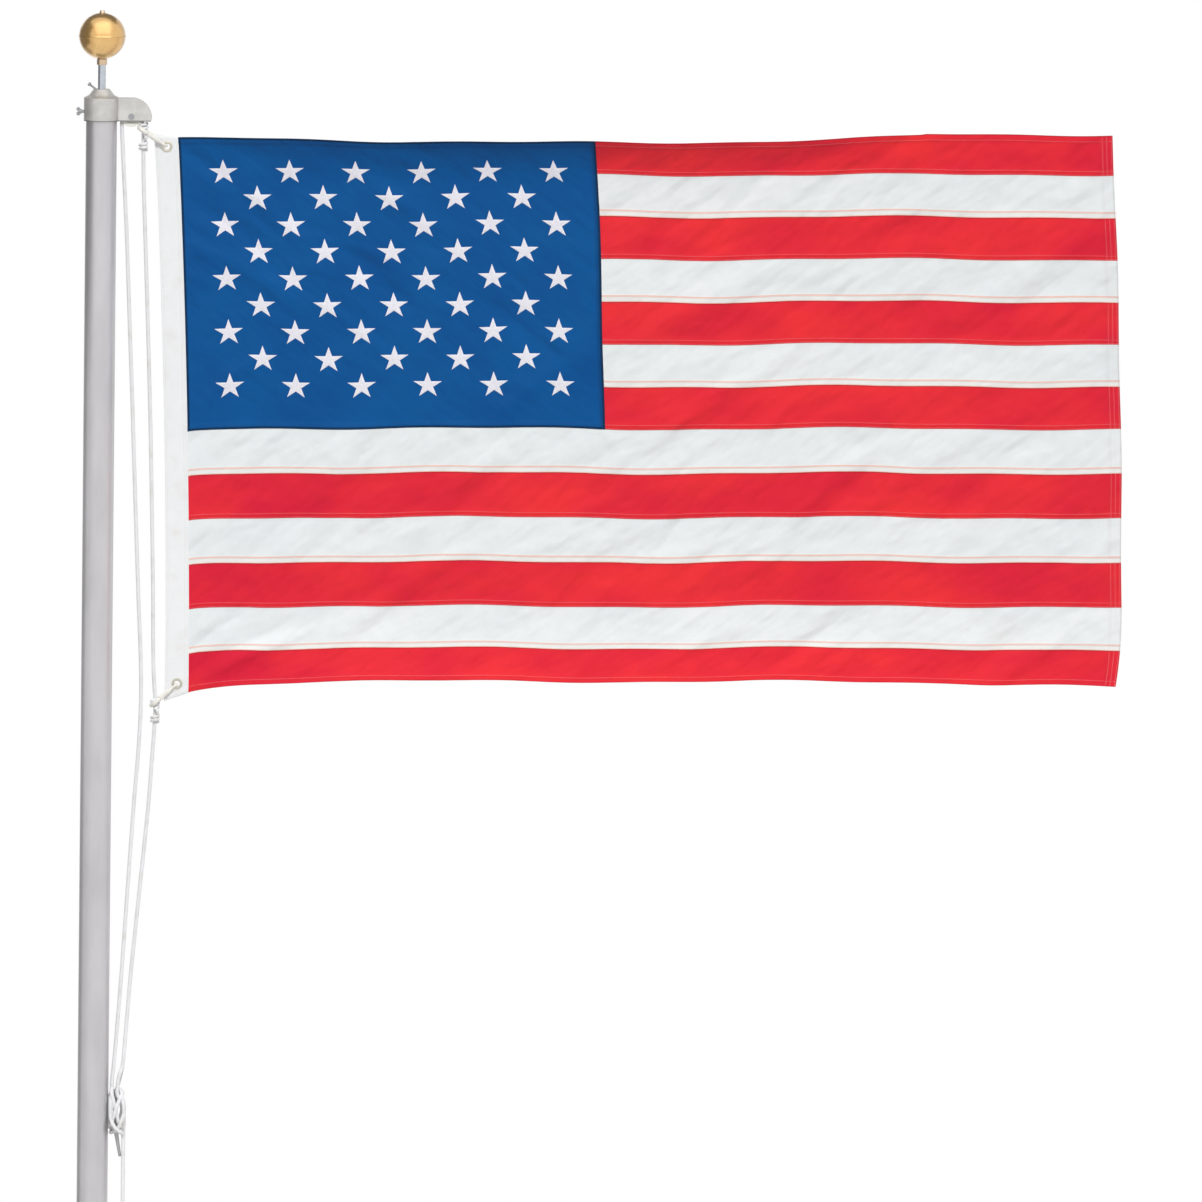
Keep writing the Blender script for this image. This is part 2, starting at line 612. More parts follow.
class FLAGPOLE_OT_stage(bpy.types.Operator):
    """Set up the camera, the lamps, the white surroundings and the floor"""
    bl_idname = "flagpole.stage"
    bl_label = "Stage"

    def execute(self, context):
        scene = context.scene
        settings = scene.flagpole_stage
        camera = bpy.data.cameras.new("Camera")
        camera.sensor_width = 36
        camera.lens = camera.sensor_width * settings.distance / settings.view_width
        camera.clip_end = 200
        back = Vector((0, -math.cos(settings.tilt), math.sin(settings.tilt)))
        aim = (-back).to_track_quat("-Z", "Y") @ Quaternion((0, 0, 1), settings.roll)
        shown = new_object("Camera", camera)
        place = Matrix.Translation(VIEW_CENTRE + back * settings.distance)
        shown.matrix_world = place @ aim.to_matrix().to_4x4()
        scene.camera = shown
        scene.view_settings.view_transform = "Standard"
        self.surroundings(scene, settings)
        self.floor()
        far_lamp("Key", (-0.22, 0.67, -0.70), settings.key, 18)
        far_lamp("Fill", (0.6, 0.75, -0.2), settings.key * 0.12, 40)
        far_lamp("Back", (0.45, -0.75, -0.48), settings.back, 30)
        self.boards()
        return {"FINISHED"}

    def boards(self):
        """Grey and bright boards that draw the pole and shape the shine of the ball."""
        ball = Vector((0, 0, (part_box("ball_lower")[1][2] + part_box("ball_upper")[0][2]) / 2))
        pole = Vector((0, 0, 1.8))
        # name, what the board faces, its place from there, its width and height, and its strength
        for name, aim, place, size, strength in (
                ("board_pole_left", pole, (-1.7, 1.1, 0), (1.9, 3.4), 0.4),
                ("board_pole_front", pole, (-1.9, -0.75, 0), (1.6, 3.4), 0.84),
                ("board_pole_right", pole, (0.9, 1.9, 0), (0.9, 3.4), 0.7),
                ("board_ball_left", ball, (-0.72, 0.12, 0.1), (1.2, 1.3), 0.24),
                ("board_ball_back", ball, (0.05, 0.55, 0.62), (1.6, 0.8), 0.22),
                ("board_ball_right", ball, (0.55, 0.65, 0.1), (0.7, 1.0), 0.75),
                ("board_ball_shine", ball, (0.15, -1.1, 1.2), (2.4, 2.2), 1.75)):
            board(name, aim + Vector(place), aim, size, strength)

    def surroundings(self, scene, settings):
        """White where the camera, gloss and glass look, and a plain even light for the rest."""
        world = bpy.data.worlds.new("Surroundings")
        world.use_nodes = True
        scene.world = world
        tree = Tree(world.node_tree)
        path = tree.node("ShaderNodeLightPath").socket.node
        rays = ("Is Camera Ray", "Is Glossy Ray", "Is Transmission Ray")
        camera, glossy, through = (Value(tree, path.outputs[name]) for name in rays)
        shown = (camera + glossy + through).math("MINIMUM", 1.0)
        light = tree.node("ShaderNodeBackground", {}, [(1, 1, 1, 1), settings.ambient])
        white = tree.node("ShaderNodeBackground", {}, [(1, 1, 1, 1), 1.0])
        both = tree.node("ShaderNodeMixShader", {}, [shown, light, white])
        tree.node("ShaderNodeOutputWorld", {}, [both])

    def floor(self):
        """A round pale floor that fades into the white surroundings."""
        rim = [Vector((math.cos(a), math.sin(a), 0)) * FLOOR_RADIUS + Vector((FLOOR_CENTRE_X, 0, 0))
               for a in np.linspace(0, 2 * math.pi, FLOOR_SIDES, endpoint=False)]
        floor = mesh_piece("floor", rim, [tuple(range(FLOOR_SIDES))], smooth=False)
        made = Finish("Pale floor", (0.8, 0.8, 0.8), 0.9)
        dust = made.noise(made.place, 3, 2)
        made.drive("Base Color", made.mix(dust, (0.78, 0.78, 0.78), (0.82, 0.82, 0.82)))
        x, y, _ = made.parts(made.place)
        radius = ((x - FLOOR_CENTRE_X) ** 2.0 + y * y) ** 0.5
        path = made.node("ShaderNodeLightPath").socket.node
        eye = Value(made, path.outputs["Is Camera Ray"])
        fade = radius.ramp(FLOOR_RADIUS * 0.35, FLOOR_RADIUS * 0.95) * eye
        white = made.node("ShaderNodeEmission", {}, [(1, 1, 1, 1), 1.0])
        surface = Value(made, made.shader.outputs[0])
        both = made.node("ShaderNodeMixShader", {}, [fade, surface, white])
        end = next(n for n in made.tree.nodes if n.type == "OUTPUT_MATERIAL")
        made.tree.links.new(both.socket, end.inputs["Surface"])
        floor.data.materials.append(made.material)


# ---------------------------------------------------------------- halyard

SHEAVE_CENTRE = centre_of("sheave")
PITCH_RADIUS = 15.5
POLE_SIDE = [
    (31, 0, 1417), (31, 0, 1426), (32.5, 0, 1440), (36, 0, 1480), (44, 0, 1588), (53, 0, 1730), (63, 0, 1886),
    (70, 0, 1980), (73, 0, 2051), (72, 0, 2130), (68, 0, 2216), (62, 0, 2360), (56, 0, 2513),
    (49, 0, 2680), (42, 0, 2843), (36, 0, 2950), (33.5, 0, 3002),
]
FLAG_SIDE = [
    (67, 0, 3006), (68.6, 0, 2995), (69, 0, 2960), (70, 0, 2910), (75, 0, 2778), (80, 0, 2646),
    (84.5, 0, 2514), (88, 0, 2382), (91, 0, 2250), (93, 0, 2118), (95, 0, 2080), (96.8, 0, 2055),
    (96, 0, 2020), (92, 0, 1960), (87, 0, 1887), (73, 0, 1738), (59, 0, 1589), (53, -2, 1510),
    (48, -6, 1452), (44, -8, 1440), (41, -8, 1426), (41, -8, 1417),
]
BIGHT = [
    (50.5, -4, 1337), (50.5, -4, 1327), (50.5, -5, 1200), (50.5, -8, 1050), (50.5, -12, 900),
    (50.5, -14, 780), (50.5, -10, 752), (50.5, 0, 740), (50.5, 10, 752), (50.5, 14, 780),
    (50.5, 12, 900), (50.5, 8, 1050), (50.5, 5, 1200), (50.5, 4, 1327), (50.5, 4, 1337),
]
CLEAT_Z = 1377
# turns on the cleat: x from the pole's axis, y, and height from the middle of the cleat
TURNS_POLE_STRAND = [
    (31, 0, 40), (30.6, -2, 36), (31, -6.5, 30), (33.5, -8.6, 20), (37, -8.8, 6), (40.2, -8.8, -8),
    (43.2, -7, -19), (46.3, -2.5, -25.5), (45.5, 4.5, -28.5), (38.5, 8.4, -30), (32, 5, -29.5),
    (29.4, -1, -27),
    (30.5, -7.5, -21), (34, -13, -8), (38.5, -15.2, 6), (43, -13, 18), (47.5, -7, 27), (48.6, 0, 31.5),
    (44.5, 7, 33.5), (37, 7.5, 33), (31, 4, 31), (29.2, -3, 27), (29.2, -8.8, 14), (29.2, -9.4, -2),
    (31, -12, -15), (36.5, -16, -25), (43.5, -15, -31.5), (48.8, -9.4, -35.5), (50.5, -5, -38),
    (50.5, -4, -40),
]
TURNS_FLAG_STRAND = [
    (41, -8, 40), (40, -8.4, 34), (41.6, -8, 26), (46, -4.6, 16), (48, 1.6, 6), (46.6, 8, -6),
    (41, 10.6, -20),
    (35.5, 8.6, -30), (30.5, 3.6, -34.6), (30.2, -2.4, -35), (34.5, -8, -33), (41.5, -10.6, -27),
    (48, -10.6, -14), (51.6, -7, 0), (50.6, 0, 14), (46.4, 5.4, 24), (41, 6, 32), (43, 2, 37),
    (46.6, -3.6, 33), (49, -8, 20), (50.8, -9.4, 6), (51.4, -6, -10), (51.2, 0, -24), (50.6, 3.6, -34),
    (50.5, 4, -40),
]
KNOT_TURNS = 2.25
# thickness of the rope where it is drawn tight, which is also the radius of its turns
KNOT_ROPE = 5.4
# middle of each knot, and the height of the snap's eye above it
KNOTS = {"upper": (68.7, 0, 2969, 30), "lower": (96.2, 0, 2027, 25)}


def smooth_path(points, step):
    """A curve through the points, with its own points a step apart."""
    given = np.asarray(points, dtype=float)
    held = np.vstack([2 * given[0] - given[1], given, 2 * given[-1] - given[-2]])
    knots = np.concatenate([[0], np.cumsum(np.linalg.norm(np.diff(held, axis=0), axis=1) ** 0.5)])
    fine = []
    for i in range(1, len(held) - 2):
        k0, k1, k2, k3 = knots[i - 1:i + 3]
        p0, p1, p2, p3 = held[i - 1:i + 3]
        k = np.linspace(k1, k2, 24, endpoint=False)[:, None]
        a1 = ((k1 - k) * p0 + (k - k0) * p1) / (k1 - k0)
        a2 = ((k2 - k) * p1 + (k - k1) * p2) / (k2 - k1)
        a3 = ((k3 - k) * p2 + (k - k2) * p3) / (k3 - k2)
        b1 = ((k2 - k) * a1 + (k - k0) * a2) / (k2 - k0)
        b2 = ((k3 - k) * a2 + (k - k1) * a3) / (k3 - k1)
        fine.append(((k2 - k) * b1 + (k - k1) * b2) / (k2 - k1))
    fine = np.vstack([*fine, given[-1:]])
    along = np.concatenate([[0], np.cumsum(np.linalg.norm(np.diff(fine, axis=0), axis=1))])
    places = np.linspace(0, along[-1], max(2, round(along[-1] / step)) + 1)
    return np.stack([np.interp(places, along, fine[:, axis]) for axis in range(3)], axis=1)


def tube_piece(name, path, diameter, sides):
    """A closed tube along a path, with a map of u once round and v in metres along."""
    count = len(path)
    steps = np.gradient(path, axis=0)
    steps /= np.linalg.norm(steps, axis=1)[:, None]
    side = np.cross(steps[0], (0.31, 0.9, 0.2))
    angles = 2 * np.pi * np.arange(sides) / sides
    rings = []
    for i in range(count):
        side = side - steps[i] * np.dot(side, steps[i])
        side /= np.linalg.norm(side)
        other = np.cross(steps[i], side)
        ring = np.cos(angles)[:, None] * side + np.sin(angles)[:, None] * other
        rings.append(path[i] + diameter / 2 * ring)
    points = np.vstack([*rings, path[:1], path[-1:]])
    along = np.concatenate([[0], np.cumsum(np.linalg.norm(np.diff(path, axis=0), axis=1))])
    faces, uv = [], []
    for i in range(count - 1):
        for k in range(sides):
            m = (k + 1) % sides
            faces.append((i * sides + k, i * sides + m, (i + 1) * sides + m, (i + 1) * sides + k))
            for turn, place in ((k, i), (k + 1, i), (k + 1, i + 1), (k, i + 1)):
                uv.append((turn / sides, along[place]))
    for k in range(sides):
        m = (k + 1) % sides
        last = (count - 1) * sides
        faces.append((m, k, count * sides))
        faces.append((last + k, last + m, count * sides + 1))
        uv.extend([(m / sides, 0), (k / sides, 0), (0.5, -0.002)])
        uv.extend([(k / sides, along[-1]), (m / sides, along[-1]), (0.5, along[-1] + 0.002)])
    piece = mesh_piece(name, points, faces, uv)
    piece.data.set_sharp_from_angle(angle=math.radians(60))
    return piece


class FLAGPOLE_OT_halyard(bpy.types.Operator):
    """Lay the rope over the sheave, round the cleat and down in its spare loop"""
    bl_idname = "flagpole.halyard"
    bl_label = "Halyard"

    def execute(self, context):
        settings = context.scene.flagpole_halyard
        self.size = settings.diameter
        self.settings = settings
        self.rope = braided_rope("Braided rope", settings.colour, self.size, settings.braid_pitch)
        knots = [self.knot(which) for which in KNOTS]
        arc = [(SHEAVE_CENTRE.x / MM + PITCH_RADIUS * math.cos(math.radians(a)), 0,
                SHEAVE_CENTRE.z / MM + PITCH_RADIUS * math.sin(math.radians(a))) for a in range(180, -1, -15)]
        turns = [[(x, y, CLEAT_Z + z) for x, y, z in strand]
                 for strand in (TURNS_POLE_STRAND, TURNS_FLAG_STRAND)]
        self.lay("halyard_run", POLE_SIDE + arc + FLAG_SIDE, 3.25, "taut", "halyard_line", knots)
        self.lay("halyard_turns_pole_side", turns[0], 0.288, "coiled", "halyard_turns")
        self.lay("halyard_turns_flag_side", turns[1], 0.269, "coiled", "halyard_turns")
        self.lay("halyard_spare_loop", BIGHT, 1.2, "hanging", "halyard_bight")
        return {"FINISHED"}

    def lay(self, name, points, length, lay, node, pieces=()):
        """One length of rope through points in millimetres."""
        path = smooth_path(mm(points), self.settings.ring_step)
        piece = tube_piece(name, path, self.size, self.settings.sides)
        dress(piece, self.rope, "rope", node)

    def knot(self, which):
        """Turns of rope drawn down tight under the snap's eye, then up to lash the eye itself."""
        x, y, z, eye = KNOTS[which]
        shares = [k / 40 for k in range(41)]
        route = [self.wrap(x, y, z - 6.2 + 12.4 * share, KNOT_TURNS * share) for share in shares]
        route += [(x + 4.2, y - 5.6, z + eye * 0.42), (x + 3.2, y - 6, z + eye * 0.62)]
        route += [self.wrap(x, y, z + eye - 7 + 14 * share, 0.75 + KNOT_TURNS * share) for share in shares]
        path = smooth_path(mm(route), 1.5 * MM)
        piece = tube_piece(f"tied_knot_{which}", path, KNOT_ROPE * MM, 12)
        return dress(piece, self.rope, "rope", f"knot_{which}")

    def wrap(self, x, y, z, turn):
        """A point of a turn round the rope."""
        angle = 2 * math.pi * turn
        return (x + KNOT_ROPE * math.cos(angle), y + KNOT_ROPE * math.sin(angle), z)


# ---------------------------------------------------------------- pole and fittings

TUBE_WALL = 1.6 * MM


class FLAGPOLE_OT_pole(bpy.types.Operator):
    """Turn the two sections of tube and finish the sleeve and the plug"""
    bl_idname = "flagpole.pole"
    bl_label = "Pole"

    def execute(self, context):
        settings = context.scene.flagpole_pole
        satin = satin_tube("Satin aluminium", settings.tube)
        for node in ("pole_lower", "pole_upper"):
            self.section(node, satin, settings.tube_sides)
        finish_node("joint_sleeve", satin)
        finish_node("base_plug", moulded_plastic("Black plug", settings.plug, 0.5))
        return {"FINISHED"}

    def section(self, node, material, sides):
        """A tube with its ends broken, and bevelled where the sections meet."""
        low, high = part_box(node)
        outer = (high[0] - low[0]) / 2
        inner = outer - TUBE_WALL
        edge = 0.4 * MM
        bevel = 0.8 * MM
        at_foot, at_top = (bevel, edge) if node == "pole_upper" else (edge, bevel)
        rings = int((high[2] - low[2]) / 0.1)
        heights = np.linspace(low[2] + at_foot, high[2] - at_top, rings)
        profile = [(inner + edge, low[2]), (outer - at_foot, low[2])]
        profile += [(outer, z) for z in heights]
        profile += [(outer - at_top, high[2]), (inner + edge, high[2])]
        profile += [(inner, z) for z in heights[::-1]]
        piece = turned_piece(f"turned_{node}", profile, (0, 0, 0), sides=sides)
        dress(piece, material, "pole_aluminium", node)


class FLAGPOLE_OT_truck(bpy.types.Operator):
    """Finish the cast truck, its sheave, its axle and its screws"""
    bl_idname = "flagpole.truck"
    bl_label = "Truck"

    def execute(self, context):
        settings = context.scene.flagpole_pole
        casting = cast_metal("Cast aluminium", settings.casting, rim=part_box("truck")[0][2])
        machined_piece("truck", "cast_truck", 0.7 * MM, casting, "cast_aluminium")
        finish_node("sheave", moulded_plastic("Sheave nylon", settings.plastic))
        steel = turned_steel("Dull steel", shade(settings.steel, 0.6), 0.36)
        for node in ("sheave_axle", "clamp_screw", "spindle_screw"):
            machined_piece(node, f"{node}_turned", 0.35 * MM, steel, "steel")
        return {"FINISHED"}


class FLAGPOLE_OT_finial(bpy.types.Operator):
    """Spin the two halves of the ball and turn its spindle, collar and nut"""
    bl_idname = "flagpole.finial"
    bl_label = "Finial"

    def execute(self, context):
        settings = context.scene.flagpole_pole
        gold = gold_finish("Gold anodised ball", settings.gold)
        low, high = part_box("ball_upper")
        radius = (high[0] - low[0]) / 2
        seam = (low[2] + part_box("ball_lower")[1][2]) / 2
        for side, node in ((1, "ball_upper"), (-1, "ball_lower")):
            piece = turned_piece(f"spun_{node}", self.half(radius, side, settings.seam_lip),
                                 (0, 0, seam), sides=settings.tube_sides)
            dress(piece, gold, "gold_aluminium", node)
        steel = turned_steel("Bright spindle", shade(settings.steel, 0.92, 0.96, 1.0), 0.2)
        machined_piece("spindle", "turned_spindle", 0.5 * MM, steel, "steel")
        pale = gold_finish("Pale gold", [(g + s) / 2 for g, s in zip(settings.gold, settings.steel)])
        for node in ("ball_collar", "ball_nut"):
            machined_piece(node, f"turned_{node}", 0.6 * MM, pale, "gold_aluminium")
        return {"FINISHED"}

    def half(self, radius, side, lip):
        """Outline of one half: a shell with a rolled lip where it meets the other half."""
        wall = 1.4 * MM
        hole = 6.5 * MM if side < 0 else 3.2 * MM
        gap = 0.12 * MM
        roll = 1.6 * MM
        outer = []
        for angle in np.linspace(0, 90, 61):
            z = radius * math.sin(math.radians(angle))
            proud = lip * math.exp(-((z - gap) / roll) ** 2)
            r = (radius + proud) * math.cos(math.radians(angle))
            if r > hole:
                outer.append((r, side * max(z, gap)))
        outer.append((hole, side * math.sqrt(radius ** 2 - hole ** 2)))
        inside = radius - wall
        inner = [(hole, side * math.sqrt(inside ** 2 - hole ** 2))]
        start = math.degrees(math.acos(hole / inside))
        for angle in np.linspace(start, 0, 24)[1:]:
            inner.append((inside * math.cos(math.radians(angle)),
                          side * max(inside * math.sin(math.radians(angle)), gap)))
        return outer + inner


class FLAGPOLE_OT_cleat(bpy.types.Operator):
    """Round off the cast cleat and finish its screws"""
    bl_idname = "flagpole.cleat"
    bl_label = "Cleat"

    def execute(self, context):
        settings = context.scene.flagpole_pole
        casting = cast_metal("Cleat casting", settings.cleat, 0.09)
        piece = moulded_copy("cleat", "cast_cleat", 0.8 * MM, 4)
        dress(piece, casting, "cleat_aluminium", "cleat")
        steel = turned_steel("Screw steel", settings.steel, 0.3)
        machined_piece("cleat_screws", "turned_cleat_screws", 0.4 * MM, steel, "steel")
        return {"FINISHED"}


class FLAGPOLE_OT_snaps(bpy.types.Operator):
    """Mould the snaps and their gates, and roll the grommets"""
    bl_idname = "flagpole.snaps"
    bl_label = "Snaps"

    VOXEL = 0.5 * MM
    ROUNDS = 3
    # the strap is as it was within the hook's reach, and thicker once past the stretch of change
    HOOK_REACH = 13 * MM
    CHANGE = 8 * MM
    THICKER = 1.7 * MM

    def execute(self, context):
        settings = context.scene.flagpole_pole
        nylon = moulded_plastic("Snap nylon", settings.plastic, 0.5)
        brass = turned_steel("Brass", settings.brass, 0.3)
        for which in ("upper", "lower"):
            piece = moulded_copy(f"snap_{which}", f"moulded_snap_{which}", self.VOXEL, self.ROUNDS)
            self.swell(piece, centre_of(f"grommet_{which}"))
            dress(piece, nylon, "snap_nylon", f"snap_{which}")
            machined_piece(f"gate_{which}", f"moulded_gate_{which}", 0.4 * MM, nylon, "snap_nylon")
            self.grommet(f"grommet_{which}", brass, settings.tube_sides)
        return {"FINISHED"}

    def swell(self, piece, hook):
        """Thickens the strap of a snap, and leaves its hook as slim as it is."""
        count = len(piece.data.vertices)
        places, normals = np.empty(3 * count), np.empty(3 * count)
        piece.data.vertices.foreach_get("co", places)
        piece.data.vertex_normals.foreach_get("vector", normals)
        places, normals = places.reshape(-1, 3), normals.reshape(-1, 3)
        away = np.linalg.norm(places - np.array(hook), axis=1)
        share = np.clip((away - self.HOOK_REACH) / self.CHANGE, 0, 1)
        places += normals * (share * share * (3 - 2 * share) * self.THICKER)[:, None]
        piece.data.vertices.foreach_set("co", places.ravel())
        skin(piece, self.VOXEL, self.ROUNDS)

    def grommet(self, node, material, sides):
        """A rolled ring through the heading, with a tooth washer's bead on its outer edge."""
        low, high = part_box(node)
        outer = (high[0] - low[0]) / 2
        half = (high[1] - low[1]) / 2
        hole = 4.6 * MM
        neck = hole + 1 * MM
        cloth = 1.15 * MM
        profile = [(neck, -cloth), (outer - 0.3 * MM, -cloth), (outer, -cloth - 0.35 * MM),
                   (outer - 0.8 * MM, -half + 0.1 * MM), (outer - 2.2 * MM, -half - 0.25 * MM),
                   (neck + 1.1 * MM, -half - 0.55 * MM), (neck, -half - 0.35 * MM), (hole, -half + 0.4 * MM)]
        profile += [(r, -z) for r, z in reversed(profile)]
        piece = turned_piece(f"rolled_{node}", profile, centre_of(node), "Y", sides // 2, sharp=50)
        dress(piece, material, "brass", node)


# ---------------------------------------------------------------- flag

FLAG_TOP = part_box("truck")[0][2] - 26 * MM
HOIST_X = 126 * MM
HOIST_LEAN = 25 * MM
FLY_RISE = 20 * MM
TOP_DIP = 12 * MM
FOOT_LIFT = 16 * MM
WAVE_DEPTH = 18 * MM
# waves along the fly, how far they slant down the hoist, and where the first one starts
WAVES = 1.3
WAVE_SLANT = 0.22
WAVE_START = math.radians(20)
TOP_CURL = 31 * MM
FOOT_CURL = 23 * MM
CORNER_PULL = 9 * MM
# shares of the hoist over which the top and the foot curl
TOP_BAND = 0.1
FOOT_BAND = 0.16
# shares of the fly over which the top's curl comes and goes, and the foot's curl grows
TOP_ARCH = 0.8
FOOT_GROWTH = 0.15
# stretches next to the heading that hold no folds, and where the sway is still growing
HELD_EDGE = 20 * MM
SWAY_GROWTH = 0.12
SWAY_UP = 1.8 * MM
SWAY_ALONG = 0.9 * MM
# puckers along a seam: how far from it they reach, how deep they are, and how long each is
PUCKER_REACH = 9 * MM
PUCKER_DEPTH = 0.28 * MM
PUCKER_LENGTH = 19 * MM
# the heading's slow wave and its short ripple
HEADING_WAVE = 1.6 * MM
HEADING_RIPPLE = 0.5 * MM
CORNER_DROP = (6 * MM, 14 * MM)
CORNER_REACH = 0.12
STRIPES = 13
CANTON_STRIPES = 7
TOP_STRIPE = 66 * MM
SHORT_STRIPE = 69.7 * MM
LONG_STRIPE = 73.2 * MM
CLOTH_HALF = 0.25 * MM
SEAM_RISE = 0.3 * MM
HEM = 11 * MM
FLY_HEM = 19 * MM
# width over which the cloth steps from one layer to two
LAYER_STEP = 0.7 * MM
THREAD_STEP = 6 * MM
# the folds that show most: place along the fly and down the hoist, slope in degrees with a positive
# one rising towards the fly, half length and half width in metres, and depth in millimetres, which
# FOLD_SCALE multiplies
FOLDS = [
    (0.075, 0.075, -40, 0.10, 0.013, 3.2), (0.115, 0.105, -38, 0.12, 0.016, -3.0),
    (0.090, 0.155, -36, 0.09, 0.014, 2.4), (0.120, 0.235, -34, 0.10, 0.015, -2.6),
    (0.300, 0.215, -42, 0.11, 0.016, 2.4), (0.360, 0.110, -36, 0.09, 0.014, -1.8),
    (0.520, 0.300, -30, 0.10, 0.018, 2.0), (0.070, 0.400, 40, 0.07, 0.012, -1.8),
    (0.560, 0.420, 38, 0.08, 0.018, -2.4), (0.240, 0.560, 66, 0.08, 0.016, -3.2),
    (0.275, 0.590, 60, 0.07, 0.014, 2.6), (0.455, 0.575, 40, 0.12, 0.020, -3.6),
    (0.500, 0.560, 40, 0.11, 0.016, 2.6), (0.360, 0.745, 30, 0.15, 0.020, -4.2),
    (0.410, 0.730, 30, 0.14, 0.016, 3.0), (0.080, 0.862, 25, 0.11, 0.014, -5.0),
    (0.110, 0.835, 27, 0.12, 0.016, 3.6), (0.060, 0.800, 38, 0.08, 0.012, 2.6),
    (0.700, 0.700, 36, 0.12, 0.020, 2.8), (0.860, 0.430, 34, 0.11, 0.018, -3.4),
    (0.830, 0.280, 32, 0.10, 0.018, -2.8), (0.790, 0.155, 64, 0.08, 0.016, 2.4),
    (1.010, 0.620, 44, 0.13, 0.020, -3.2), (1.060, 0.600, 44, 0.12, 0.016, 2.2),
    (1.180, 0.300, 40, 0.12, 0.022, 2.6), (1.220, 0.530, 34, 0.14, 0.020, -2.6),
    (1.020, 0.840, 34, 0.12, 0.018, 3.0), (1.380, 0.866, 36, 0.11, 0.020, -4.6),
    (1.330, 0.850, 36, 0.10, 0.018, 3.0), (1.430, 0.700, 40, 0.12, 0.018, 2.4),
    (1.180, 0.045, 52, 0.08, 0.016, -2.8), (0.960, 0.060, 40, 0.09, 0.016, 2.4),
    (1.420, 0.200, 30, 0.12, 0.020, -2.2), (0.800, 0.860, 30, 0.12, 0.016, -2.4),
]
FOLD_SCALE = 1.6
# half lengths beyond which a fold has died out, and how much it bends
FOLD_REACH = 2.6
FOLD_BEND = 0.10
FINE_FOLDS = 240


def stripe_edge(k, hoist):
    """Distance of the boundary under stripe k from the top of the flag."""
    if k == 0:
        return 0.0
    if k <= CANTON_STRIPES:
        return TOP_STRIPE + (k - 1) * SHORT_STRIPE
    if k < STRIPES:
        return stripe_edge(CANTON_STRIPES, hoist) + (k - CANTON_STRIPES) * LONG_STRIPE
    return hoist


